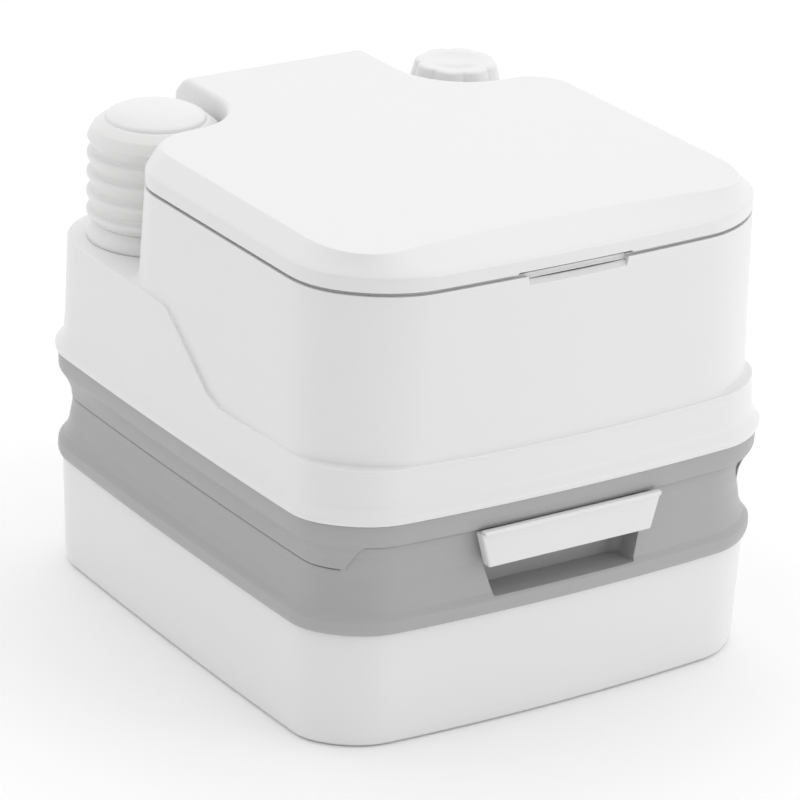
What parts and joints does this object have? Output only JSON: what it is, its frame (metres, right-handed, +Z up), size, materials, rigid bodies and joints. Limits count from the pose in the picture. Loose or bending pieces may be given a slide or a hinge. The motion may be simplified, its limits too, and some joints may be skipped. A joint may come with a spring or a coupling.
{
  "type": "portable camp toilet",
  "caption": "Two-part flushing camp toilet: bellows pump, filler cap, seat and lid on a water tank that lifts off a waste tank with a slide valve and pour-out spout.",
  "frame": {"origin": "on the ground under the middle of the object's box", "axes": "+Z up; the front with the valve handle faces -Y; +X is the side of the filler cap"},
  "size_m": [0.3412, 0.3804, 0.31],
  "materials": {
    "white_shell": "satin moulded polypropylene",
    "white_bellows": "soft blow-moulded",
    "bowl_white": "polished moulded",
    "grey_shell": "fine satin moulded",
    "grey_part": "satin moulded",
    "rubber": "matte",
    "clear_plastic": "natural translucent",
    "steel": "stainless"
  },
  "bodies": {
    "waste_tank": {"waste_tank_top": "grey_shell", "waste_tank_base": "white_shell", "valve_frame": "grey_part", "valve_seal": "rubber", "spout_ring": "grey_part", "valve_screw_1": "steel", "valve_screw_2": "steel", "valve_screw_3": "steel", "valve_screw_4": "steel", "valve_screw_5": "steel", "valve_screw_6": "steel"},
    "slide_valve": {"valve_blade": "clear_plastic", "valve_handle": "white_shell"},
    "pour_spout": {"pour_spout": "grey_part"},
    "spout_cap": {"spout_cap": "grey_part", "spout_gasket": "rubber"},
    "vent_button": {"vent_button": "grey_part", "vent_seal": "rubber", "vent_spring": "steel"},
    "upper_unit": {"upper_tank": "white_shell", "bowl": "bowl_white", "bowl_seal": "rubber", "base_tray": "grey_shell", "flush_nozzle": "bowl_white", "flush_hose": "clear_plastic", "suction_tube": "clear_plastic", "pump_valve": "grey_part", "pump_collar": "white_shell", "pump_bellows": "white_bellows", "hinge_pin_left": "steel", "hinge_pin_right": "steel", "latch_pin": "steel"},
    "release_latch": {"release_latch": "grey_shell"},
    "pump_button": {"pump_button": "white_shell"},
    "filler_cap": {"filler_cap": "white_shell", "filler_gasket": "rubber"},
    "seat": {"seat": "white_shell", "seat_foot_1": "rubber", "seat_foot_2": "rubber", "seat_foot_3": "rubber", "seat_foot_4": "rubber"},
    "lid": {"lid": "white_shell", "lid_foot_1": "rubber", "lid_foot_2": "rubber"}
  },
  "joints": [
    {"name": "unit_lift", "type": "slide", "parent": "waste_tank", "child": "upper_unit", "axis": [0, 0, 1], "range_m": [0, 0.06]},
    {"name": "seat_hinge", "type": "hinge", "parent": "upper_unit", "child": "seat", "pos_m": [0, 0.16575, 0.293], "axis": [-1, 0, 0], "range_deg": [0, 95]},
    {"name": "lid_hinge", "type": "hinge", "parent": "seat", "child": "lid", "pos_m": [0, 0.16575, 0.293], "axis": [1, 0, 0], "range_deg": [-100, 0]},
    {"name": "pump_press", "type": "slide", "parent": "upper_unit", "child": "pump_button", "axis": [0, 0, -1], "range_m": [0, 0.04], "stiffness_N_per_m": 150, "deforming": ["pump_bellows"]},
    {"name": "filler_cap_turn", "type": "hinge", "parent": "upper_unit", "child": "filler_cap", "pos_m": [0.1185, 0.12925, 0.29], "axis": [0, 0, 1], "continuous": true},
    {"name": "valve_slide", "type": "slide", "parent": "waste_tank", "child": "slide_valve", "axis": [0, -1, 0], "range_m": [0, 0.098]},
    {"name": "spout_swing", "type": "hinge", "parent": "waste_tank", "child": "pour_spout", "pos_m": [-0.078, 0.15225, 0.082], "axis": [0, 0, 1], "range_deg": [0, 95]},
    {"name": "spout_cap_turn", "type": "hinge", "parent": "pour_spout", "child": "spout_cap", "pos_m": [0.014, 0.15225, 0.107], "axis": [1, 0, 0], "continuous": true},
    {"name": "vent_press", "type": "slide", "parent": "waste_tank", "child": "vent_button", "axis": [0, -1, 0], "range_m": [0, 0.004], "stiffness_N_per_m": 400},
    {"name": "latch_swing", "type": "hinge", "parent": "upper_unit", "child": "release_latch", "pos_m": [0.112, 0.18225, 0.138], "axis": [1, 0, 0], "range_deg": [0, 75]}
  ]
}
